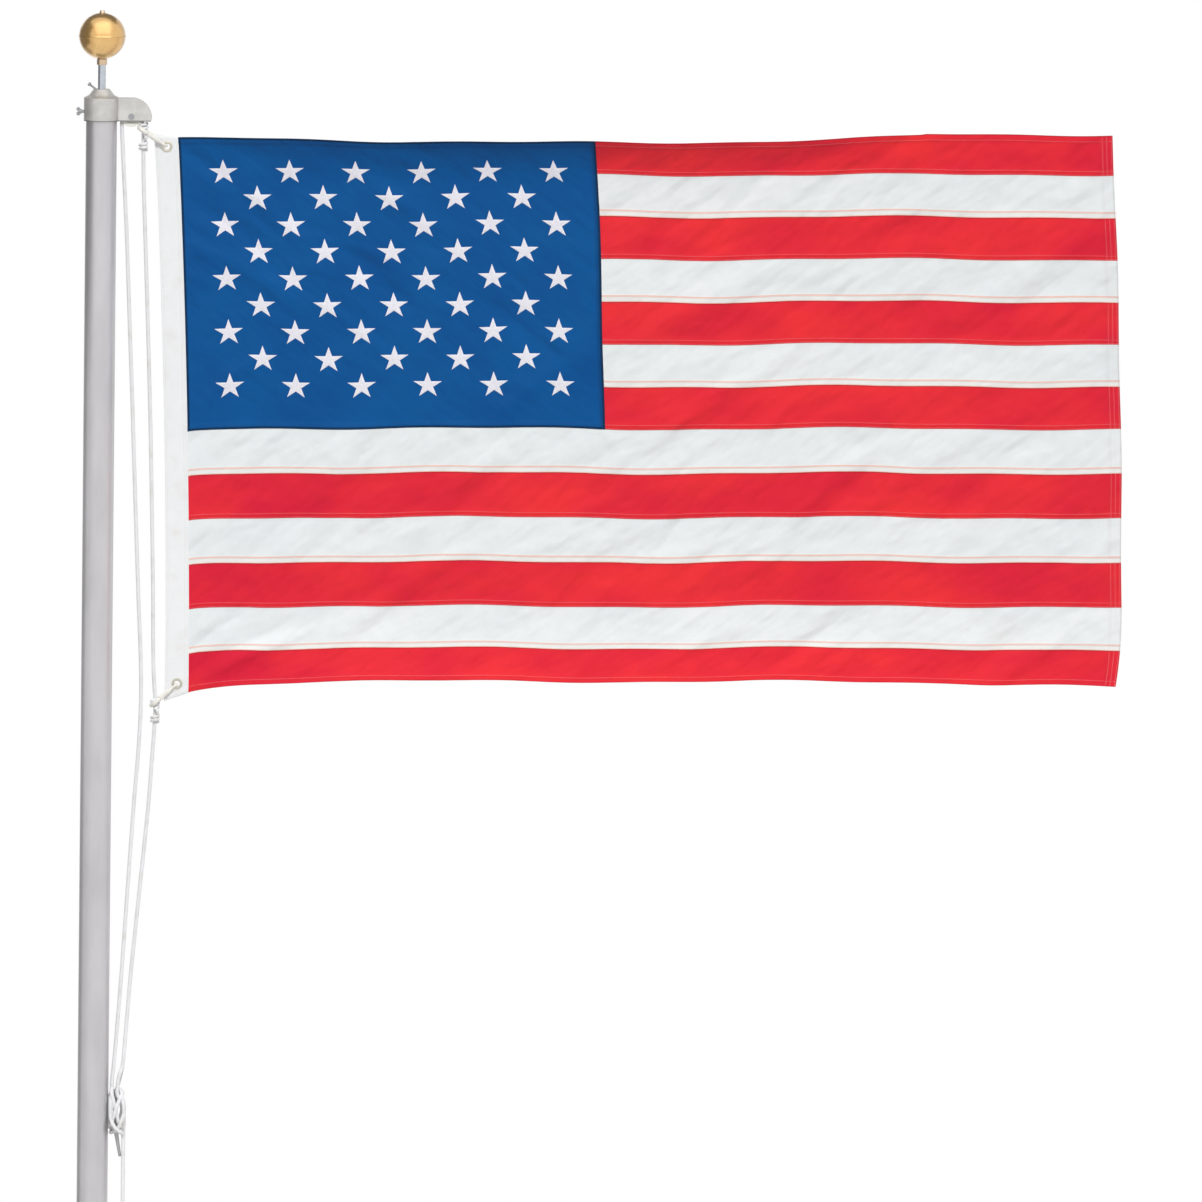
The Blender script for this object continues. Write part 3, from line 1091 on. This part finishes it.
class Cloth:
    """The surface of the flying flag: u runs along the fly and v down the hoist, both in metres."""

    def __init__(self, settings):
        self.fly = settings.fly
        self.hoist = settings.hoist
        self.canton = settings.canton * settings.fly
        self.edges = [stripe_edge(k, self.hoist) for k in range(STRIPES + 1)]
        draw = random.Random(11)
        self.folds = [(u, v, math.radians(a), long, wide, FOLD_SCALE * depth * MM)
                      for u, v, a, long, wide, depth in FOLDS]
        for _ in range(FINE_FOLDS):
            u, v = draw.uniform(0.0, self.fly), draw.uniform(0.0, self.hoist)
            in_canton = u < self.canton and v < self.edges[CANTON_STRIPES]
            slope = draw.gauss(-38, 12) if in_canton else draw.gauss(40, 15)
            self.folds.append((u, v, math.radians(slope), draw.uniform(0.025, 0.09),
                               draw.uniform(0.006, 0.014), draw.uniform(-2.0, 2.0) * MM))

    def hoist_line(self, s):
        return HOIST_X + HOIST_LEAN * (1 - (1 - s) ** 2)

    def hang(self, t, s):
        """The smooth form of the flag, as in the frame."""
        along = np.clip(t, 0, 1)
        top = np.clip(1 - s / TOP_BAND, 0, None) ** 2
        foot = np.clip(1 - (1 - s) / FOOT_BAND, 0, None) ** 2
        top_share = np.sin(np.pi * np.minimum(1, along / TOP_ARCH)).clip(0) ** 0.6
        foot_share = (1 - (1 - np.minimum(1, along / FOOT_GROWTH)) ** 2) * (1 - 0.5 * along ** 4)
        x = self.hoist_line(s) + self.fly * t - CORNER_PULL * along ** 3 * foot
        phase = 2 * np.pi * (WAVES * t + WAVE_SLANT * s) + WAVE_START
        y = WAVE_DEPTH * along ** 0.7 * np.sin(phase)
        y = y - TOP_CURL * top_share * top - FOOT_CURL * foot_share * foot
        z = FLAG_TOP - self.hoist * s + FLY_RISE * along ** 0.45 - TOP_DIP * top_share * top
        return x, y, z + FOOT_LIFT * foot_share * foot

    def creases(self, u, v):
        """Depth of the folds and of the puckers along the seams."""
        depth = np.zeros_like(u)
        for cu, cv, slope, long, wide, deep in self.folds:
            du, dv = u - cu, cv - v
            near = (np.abs(du) < FOLD_REACH * long) & (np.abs(dv) < FOLD_REACH * long)
            du, dv = du[near], dv[near]
            on = du * math.cos(slope) + dv * math.sin(slope)
            off = dv * math.cos(slope) - du * math.sin(slope)
            off = off + FOLD_BEND * on ** 2 / long
            depth[near] += deep * np.exp(-(on / long) ** 2 - (off / wide) ** 2)
        for k, edge in enumerate(self.edges):
            reach = np.exp(-((v - edge) / PUCKER_REACH) ** 2)
            wander = 1.7 * np.sin(2 * np.pi * u / 0.13 + k) + 0.9 * np.sin(2 * np.pi * u / 0.047 + 2 * k)
            depth += PUCKER_DEPTH * reach * np.sin(2 * np.pi * u / PUCKER_LENGTH + wander)
        return depth

    def point(self, u, v):
        """A point of the middle of the cloth, as an array with x, y and z last."""
        x, y, z = self.hang(u / self.fly, v / self.hoist)
        held = np.clip(u / HELD_EDGE, 0, 1)
        y = y + self.creases(u, v) * held
        free = np.clip(u / SWAY_GROWTH, 0, 1)
        sway = np.sin(2 * np.pi * (u / 0.55 + v / 2.6) + 0.8)
        sway = sway + 0.5 * np.sin(2 * np.pi * (u / 0.23 - v / 0.7) + 2)
        z = z + SWAY_UP * sway * free
        x = x + SWAY_ALONG * np.sin(2 * np.pi * (v / 0.31 + u)) * free
        return np.stack([x, y, z], axis=-1)

    def normal(self, u, v):
        """The direction out of the back of the cloth."""
        step = 0.6 * MM
        along = self.point(u + step, v) - self.point(u - step, v)
        down = self.point(u, v + step) - self.point(u, v - step)
        out = np.cross(along, down)
        return out / np.linalg.norm(out, axis=-1, keepdims=True)

    def heading_point(self, across, v, width):
        """A point of the heading, from its free edge at 0 to the bunting at its width."""
        s = v / self.hoist
        up = np.clip(1 - s / CORNER_REACH, 0, None) ** 2
        down = np.clip(1 - (1 - s) / CORNER_REACH, 0, None) ** 2
        share = 1 - across / width
        x = self.hoist_line(s) - width + across - 2 * MM * (up + down) * share
        z = FLAG_TOP - v + (CORNER_DROP[0] * up - CORNER_DROP[1] * down) * share
        calm = np.clip(np.minimum(s, 1 - s) / 0.06, 0, 1)
        y = HEADING_WAVE * np.sin(2 * np.pi * (1.7 * s + 0.3)) * share * calm
        y = y + HEADING_RIPPLE * np.sin(2 * np.pi * v / 0.11 + 9 * across / width) * share * calm
        return np.stack([x, y, z], axis=-1)


def grid_lines(start, end, step, marks=()):
    """Places from start to end at most a step apart, with the marks among them."""
    stops = [start, *sorted(m for m in marks if start + 0.05 * MM < m < end - 0.05 * MM), end]
    lines = [start]
    for a, b in zip(stops, stops[1:]):
        lines.extend(np.linspace(a, b, max(1, math.ceil((b - a) / step)) + 1)[1:])
    return np.array(lines)


def edge_marks(place):
    """Two lines beside a step in the thickness."""
    return [place - LAYER_STEP / 2, place + LAYER_STEP / 2]


def second_layer(inside):
    """1 where the distance into a doubled stretch is positive, 0 outside, with a short step between."""
    return np.clip(inside / LAYER_STEP + 0.5, 0, 1)


def thread_rows(width):
    """Where the rows of stitches run on a heading of this width, from its free edge."""
    return [3.5 * MM, width - 7 * MM, width - 3 * MM]


def sheet_piece(name, points, outward, half, uv, notes=None):
    """A closed sheet from a grid of points, grown by half on each side along outward."""
    rows, cols = half.shape
    front = (points - outward * half[..., None]).reshape(-1, 3)
    back = (points + outward * half[..., None]).reshape(-1, 3)
    ids = np.arange(rows * cols).reshape(rows, cols)
    other = ids + rows * cols

    def quads(a, b, c, d):
        return np.stack([a.ravel(), b.ravel(), c.ravel(), d.ravel()], axis=1)
    faces = np.vstack([
        quads(ids[1:, :-1], ids[1:, 1:], ids[:-1, 1:], ids[:-1, :-1]),
        quads(other[:-1, :-1], other[:-1, 1:], other[1:, 1:], other[1:, :-1]),
        quads(ids[0, :-1], ids[0, 1:], other[0, 1:], other[0, :-1]),
        quads(ids[-1, :-1], other[-1, :-1], other[-1, 1:], ids[-1, 1:]),
        quads(ids[:-1, 0], other[:-1, 0], other[1:, 0], ids[1:, 0]),
        quads(ids[:-1, -1], ids[1:, -1], other[1:, -1], other[:-1, -1]),
    ])
    flat_uv = uv.reshape(-1, 2)
    piece = mesh_piece(name, np.vstack([front, back]), faces, np.vstack([flat_uv, flat_uv]))
    for label, values in (notes or {}).items():
        held = piece.data.attributes.new(label, "FLOAT", "POINT")
        held.data.foreach_set("value", np.tile(values.ravel(), 2).astype(np.float32))
    piece.data.set_sharp_from_angle(angle=math.radians(50))
    return piece


class FLAGPOLE_OT_heading(bpy.types.Operator):
    """Fold and hem the canvas heading, and cut its holes"""
    bl_idname = "flagpole.heading"
    bl_label = "Heading"

    def execute(self, context):
        settings = context.scene.flagpole_flag
        cloth = Cloth(settings)
        width = settings.heading
        edge = 1 * MM
        fold = 10 * MM
        marks = [0.12 * MM, 0.4 * MM, edge, width - edge, width - 0.4 * MM]
        for row in thread_rows(width):
            marks += [row - 0.9 * MM, row, row + 0.9 * MM]
        across = grid_lines(0, width, 4 * MM, marks)
        hoist = settings.hoist
        down = grid_lines(0, hoist, settings.grid, [edge, fold, hoist - fold, hoist - edge])
        a, v = np.meshgrid(across, down)
        points = cloth.heading_point(a, v, width)
        rim = np.minimum(np.minimum(a, width - a), np.minimum(v, hoist - v)).clip(0, edge)
        half = 1.0 * MM * np.sqrt(1 - (1 - rim / edge) ** 2 * 0.85)
        for row in thread_rows(width):
            half -= 0.22 * MM * np.exp(-((a - row) / (0.8 * MM)) ** 2)
        folded = (v < fold) | (v > hoist - fold)
        half += np.where(folded & (rim >= edge * 0.9), 0.2 * MM, 0)
        outward = np.broadcast_to(np.array([0.0, 1.0, 0.0]), points.shape)
        piece = sheet_piece("canvas_heading", points, outward, half, np.stack([a, v], axis=-1))
        for which in ("upper", "lower"):
            self.cut(piece, centre_of(f"grommet_{which}"), 5.4 * MM)
        dress(piece, canvas_cloth("Heading canvas", settings.canvas), "canvas", "heading")
        return {"FINISHED"}

    def cut(self, piece, centre, radius):
        """A round hole through the heading."""
        deep = 6 * MM
        profile = [(0, -deep), (radius, -deep), (radius, deep), (0, deep)]
        cutter = turned_piece("cutter", profile, centre, "Y", 40)
        hole = piece.modifiers.new("Hole", "BOOLEAN")
        hole.object = cutter
        hole.operation = "DIFFERENCE"
        hole.solver = "EXACT"
        bake_modifiers(piece)
        bpy.data.objects.remove(cutter)


class FLAGPOLE_OT_bunting(bpy.types.Operator):
    """Sew the canton and the stripes as one flying surface"""
    bl_idname = "flagpole.bunting"
    bl_label = "Bunting"

    def execute(self, context):
        settings = context.scene.flagpole_flag
        cloth = Cloth(settings)
        seam = settings.seam
        tuck = 5 * MM
        red = stripe_cloth("Red nylon", settings.red, seam, (0.79, 0.42, 1.1))
        white = stripe_cloth("White nylon", settings.white, seam, (0.955, 0.97, 0.985), linear(236, 186, 170))
        blue = canton_cloth("Blue nylon", settings.blue)
        canton_foot = cloth.edges[CANTON_STRIPES]
        self.panel(cloth, settings, "canton", blue, "nylon_blue", -tuck, cloth.canton, 0, canton_foot)
        for k in range(1, STRIPES + 1):
            start = cloth.canton if k <= CANTON_STRIPES else -tuck
            cut = (red, "nylon_red") if k % 2 else (white, "nylon_white")
            self.panel(cloth, settings, f"stripe_{k:02d}", *cut, start, cloth.fly,
                       cloth.edges[k - 1], cloth.edges[k])
        return {"FINISHED"}

    def panel(self, cloth, settings, node, material, slot, u0, u1, v0, v1):
        """One panel of bunting, thicker along its seam and its hems."""
        fly_hem = cloth.fly - FLY_HEM
        band = HEM if node == "stripe_13" else settings.seam
        marks_u = edge_marks(fly_hem) + [u1 - 3 * MM, 2 * MM, 20 * MM]
        marks_v = edge_marks(v1 - band) + ([] if v0 else edge_marks(HEM)) + [v1 - 1 * MM, v0 + 1.5 * MM]
        along = grid_lines(u0, u1, settings.grid, marks_u)
        u, v = np.meshgrid(along, grid_lines(v0, v1, settings.grid, marks_v))
        foot, top, end = v1 - v, v - v0, u1 - u
        doubled = second_layer(band - foot)
        if u1 > fly_hem:
            doubled = np.maximum(doubled, second_layer(u - fly_hem))
        if v0 == 0:
            doubled = np.maximum(doubled, second_layer(HEM - v))
        half = CLOTH_HALF + SEAM_RISE * doubled
        notes = {"foot": foot, "top": top, "end": end}
        piece = sheet_piece(f"sewn_{node}", cloth.point(u, v), cloth.normal(u, v), half,
                            np.stack([u, v], axis=-1), notes)
        dress(piece, material, slot, node)
        v1 - v0
        u1 - u0


class FLAGPOLE_OT_stars(bpy.types.Operator):
    """Embroider the stars on both sides of the canton"""
    bl_idname = "flagpole.stars"
    bl_label = "Stars"

    ROWS = 9
    # the first and the last star, as shares of the canton along the fly and down the hoist
    MARGIN_ALONG = (0.103, 0.896)
    MARGIN_DOWN = (0.128, 0.855)
    # the inner corners of a star, as a share of its radius
    INNER = 0.375
    # how far a star is drawn out along the fly, and pressed together down the hoist
    WIDE = 1.07
    TALL = 0.96
    # scale of each ring of a star's outline, and its height in millimetres
    RINGS = [(1.0, 0.0), (1.0, 0.42), (0.93, 0.6), (0.5, 0.85)]
    CREST = 0.95

    def execute(self, context):
        settings = context.scene.flagpole_flag
        cloth = Cloth(settings)
        thread = satin_thread("Star thread", linear(240, 238, 246))
        for side, node in ((-1, "stars_front"), (1, "stars_back")):
            points, faces = [], []
            for u, v in self.places(cloth):
                self.star(cloth, settings.star, u, v, side, points, faces)
            piece = mesh_piece(f"sewn_{node}", np.vstack(points), faces)
            piece.data.set_sharp_from_angle(angle=math.radians(55))
            dress(piece, thread, "star_thread", node)
        return {"FINISHED"}

    def places(self, cloth):
        """Nine rows, of six stars and of five by turns."""
        foot = cloth.edges[CANTON_STRIPES]
        for row in range(self.ROWS):
            odd = row % 2
            for col in range(6 - odd):
                along = self.between(self.MARGIN_ALONG, (2 * col + odd) / 10)
                down = self.between(self.MARGIN_DOWN, row / (self.ROWS - 1))
                yield cloth.canton * along, foot * down

    def between(self, margins, share):
        """The place a share of the way from the first margin to the second."""
        return margins[0] + (margins[1] - margins[0]) * share

    def star(self, cloth, radius, u, v, side, points, faces):
        """One raised star: a low wall, a rounded shoulder and a ridge along each arm."""
        start = sum(len(p) for p in points)
        turns = np.radians(36) * np.arange(10)
        reach = radius * np.where(np.arange(10) % 2, self.INNER, 1.0)
        corners = np.stack([reach * np.sin(turns), reach * np.cos(turns)], axis=1)
        middles = (corners + np.roll(corners, -1, axis=0)) / 2
        outline = np.stack([corners, middles], axis=1).reshape(-1, 2)
        count = len(outline)
        flat = np.vstack([outline * scale for scale, _ in self.RINGS] + [np.zeros((2, 2))])
        lift = np.concatenate([np.full(count, height) for _, height in self.RINGS] + [[0.0, self.CREST]])
        at_u = u + flat[:, 0] * self.WIDE
        at_v = v - flat[:, 1] * self.TALL
        rise = side * (CLOTH_HALF + (lift - 0.08) * MM)
        points.append(cloth.point(at_u, at_v) + cloth.normal(at_u, at_v) * rise[:, None])
        last = start + (len(self.RINGS) - 1) * count
        under, crest = last + count, last + count + 1
        for k in range(count):
            m = (k + 1) % count
            loops = [(under, start + k, start + m)]
            for a in range(start, last, count):
                loops.append((a + m, a + k, a + count + k, a + count + m))
            loops.append((last + m, last + k, crest))
            faces.extend(loop if side < 0 else loop[::-1] for loop in loops)


def stitch_tree():
    """Node group that lays one small stitch after another along the edges of a mesh."""
    group = bpy.data.node_groups.new("Stitches", "GeometryNodeTree")
    face = group.interface
    face.new_socket("Geometry", in_out="INPUT", socket_type="NodeSocketGeometry")
    sizes = {"Pitch": 4.2 * MM, "Length": 2.8 * MM, "Width": 0.55 * MM, "Height": 0.4 * MM}
    for name, default in sizes.items():
        made = face.new_socket(name, in_out="INPUT", socket_type="NodeSocketFloat")
        made.default_value = default
    seed = face.new_socket("Seed", in_out="INPUT", socket_type="NodeSocketInt")
    seed.default_value = 3
    face.new_socket("Thread", in_out="INPUT", socket_type="NodeSocketMaterial")
    face.new_socket("Geometry", in_out="OUTPUT", socket_type="NodeSocketGeometry")
    tree = Tree(group)
    source = tree.node("NodeGroupInput").socket.node
    rows, pitch, length, width, height, seed, thread = [Value(tree, socket) for socket in source.outputs][:7]
    lines = tree.node("GeometryNodeMeshToCurve", {}, [rows])
    spaced = tree.node("GeometryNodeResampleCurve", {"mode": "LENGTH"}, {"Curve": lines, "Length": pitch})
    size = tree.node("ShaderNodeCombineXYZ", {}, [length * 0.5, height * 0.5, width * 0.5])
    grain = tree.node("GeometryNodeMeshUVSphere", {}, {"Segments": 4, "Rings": 2, "Radius": 1.0})
    grain = tree.node("GeometryNodeTransform", {}, {"Geometry": grain, "Scale": size})
    tangent = tree.node("GeometryNodeInputTangent")
    out = tree.node("GeometryNodeInputNamedAttribute", {"data_type": "FLOAT_VECTOR"}, {"Name": "out"})
    lie = tree.node("FunctionNodeAlignRotationToVector", {"axis": "X"}, {"Vector": tangent})
    lie = tree.node("FunctionNodeAlignRotationToVector", {"axis": "Y", "pivot_axis": "X"},
                    {"Rotation": lie, "Vector": out})
    slant = tree.node("FunctionNodeRandomValue", {"data_type": "FLOAT"},
                      {2: -0.12, 3: 0.12, "Seed": seed}, 1)
    twist = tree.node("ShaderNodeCombineXYZ", {}, [0.0, slant, 0.0])
    twist = tree.node("FunctionNodeEulerToRotation", {}, [twist])
    lie = tree.node("FunctionNodeRotateRotation", {"rotation_space": "LOCAL"}, [lie, twist])
    sewn = tree.node("GeometryNodeInstanceOnPoints", {}, {
        "Points": spaced, "Instance": grain, "Rotation": lie})
    real = tree.node("GeometryNodeRealizeInstances", {}, [sewn])
    real = tree.node("GeometryNodeSetMaterial", {}, {"Geometry": real, "Material": thread})
    tree.node("NodeGroupOutput", {}, [real])
    return group


class FLAGPOLE_OT_stitches(bpy.types.Operator):
    """Sew the seams, the hems and the heading with rows of small stitches"""
    bl_idname = "flagpole.stitches"
    bl_label = "Stitches"

    def execute(self, context):
        settings = context.scene.flagpole_flag
        cloth = Cloth(settings)
        self.cloth = cloth
        self.settings = settings
        self.group = stitch_tree()
        inside = 1 * MM
        on_red, on_white, on_blue = [], [], []
        for k in range(1, STRIPES):
            start = cloth.canton + inside if k <= CANTON_STRIPES else inside
            for rise in (1.6 * MM, settings.seam - 1.3 * MM):
                if k == CANTON_STRIPES:
                    on_blue.append(self.along(inside, cloth.canton, cloth.edges[k] - rise))
                row = self.along(start, cloth.fly, cloth.edges[k] - rise)
                (on_red if k % 2 else on_white).append(row)
        for inset in (2 * MM, 8.5 * MM):
            on_blue.append(self.down(cloth.canton - inset, inside, cloth.edges[CANTON_STRIPES]))
        top = HEM - 1.6 * MM
        on_blue.append(self.along(inside, cloth.canton, top))
        on_red.append(self.along(cloth.canton, cloth.fly, top))
        on_red.append(self.along(inside, cloth.fly, cloth.hoist - top))
        for inset in (2.5 * MM, 10 * MM, FLY_HEM - 1.8 * MM):
            on_white.append(self.down(cloth.fly - inset, inside, cloth.hoist))
        self.sew("stitches_on_red", self.both_sides(on_red), linear(246, 190, 188))
        self.sew("stitches_on_white", self.both_sides(on_white), linear(240, 214, 204))
        self.sew("stitches_on_blue", self.both_sides(on_blue), linear(16, 44, 84))
        self.sew("stitches_on_heading", self.heading_rows(), linear(222, 218, 214))
        return {"FINISHED"}

    def along(self, start, end, v):
        u = grid_lines(start, end, THREAD_STEP)
        return u, np.full_like(u, v)

    def down(self, u, start, end):
        v = grid_lines(start, end, THREAD_STEP)
        return np.full_like(v, u), v

    def both_sides(self, rows):
        """Each row on the front and on the back, as points and the way out of the cloth."""
        for u, v in rows:
            points, out = self.cloth.point(u, v), self.cloth.normal(u, v)
            for side in (-1, 1):
                yield points + out * side * (CLOTH_HALF + SEAM_RISE + 0.06 * MM), out * side

    def heading_rows(self):
        width = self.settings.heading
        v = grid_lines(3 * MM, self.cloth.hoist - 3 * MM, THREAD_STEP)
        for across in thread_rows(width):
            points = self.cloth.heading_point(np.full_like(v, across), v, width)
            out = np.broadcast_to(np.array([0.0, 1.0, 0.0]), points.shape)
            for side in (-1, 1):
                yield points + out * side * 0.85 * MM, out * side

    def sew(self, name, rows, colour):
        """Turns rows of points into stitches of one thread."""
        points, ways, edges = [], [], []
        for place, out in rows:
            start = sum(len(p) for p in points)
            edges.extend((start + i, start + i + 1) for i in range(len(place) - 1))
            points.append(place)
            ways.append(out)
        mesh = bpy.data.meshes.new(name)
        mesh.from_pydata(np.vstack(points).tolist(), edges, [])
        held = mesh.attributes.new("out", "FLOAT_VECTOR", "POINT")
        held.data.foreach_set("vector", np.vstack(ways).astype(np.float32).ravel())
        piece = new_object(name, mesh)
        thread = satin_thread(f"Thread of {name}", colour)
        laid = piece.modifiers.new("Stitches", "NODES")
        laid.node_group = self.group
        given = {"Pitch": self.settings.stitch, "Length": self.settings.stitch * 0.7, "Thread": thread}
        for socket in self.group.interface.items_tree:
            if socket.item_type == "SOCKET" and socket.in_out == "INPUT" and socket.name in given:
                laid[socket.identifier] = given[socket.name]
        bake_modifiers(piece)
        dress(piece, thread, "star_thread")


# ---------------------------------------------------------------- add-on

STEPS = [
    FLAGPOLE_OT_stage, FLAGPOLE_OT_halyard, FLAGPOLE_OT_pole, FLAGPOLE_OT_truck, FLAGPOLE_OT_finial,
    FLAGPOLE_OT_cleat, FLAGPOLE_OT_snaps, FLAGPOLE_OT_heading, FLAGPOLE_OT_bunting, FLAGPOLE_OT_stars,
    FLAGPOLE_OT_stitches,
]


class FLAGPOLE_PT_panel(bpy.types.Panel):
    """Lists the settings and the steps"""
    bl_idname = "FLAGPOLE_PT_panel"
    bl_label = "Flagpole"
    bl_space_type = "VIEW_3D"
    bl_region_type = "UI"
    bl_category = "Flagpole"

    def draw(self, context):
        for group in ("flagpole_pole", "flagpole_halyard", "flagpole_flag", "flagpole_stage"):
            box = self.layout.box()
            settings = getattr(context.scene, group)
            for name in settings.__annotations__:
                box.prop(settings, name)
        for step in STEPS:
            self.layout.operator(step.bl_idname)


SETTINGS = {
    "flagpole_pole": PoleSettings,
    "flagpole_halyard": HalyardSettings,
    "flagpole_flag": FlagSettings,
    "flagpole_stage": StageSettings,
}


def register():
    for kind in [*SETTINGS.values(), *STEPS, FLAGPOLE_PT_panel]:
        bpy.utils.register_class(kind)
    for name, kind in SETTINGS.items():
        setattr(bpy.types.Scene, name, PointerProperty(type=kind))


def unregister():
    for name in SETTINGS:
        delattr(bpy.types.Scene, name)
    for kind in reversed([*SETTINGS.values(), *STEPS, FLAGPOLE_PT_panel]):
        bpy.utils.unregister_class(kind)


def main():
    register()
    for step in STEPS:
        group, name = step.bl_idname.split(".")
        getattr(getattr(bpy.ops, group), name)()


if __name__ == "__main__":
    main()
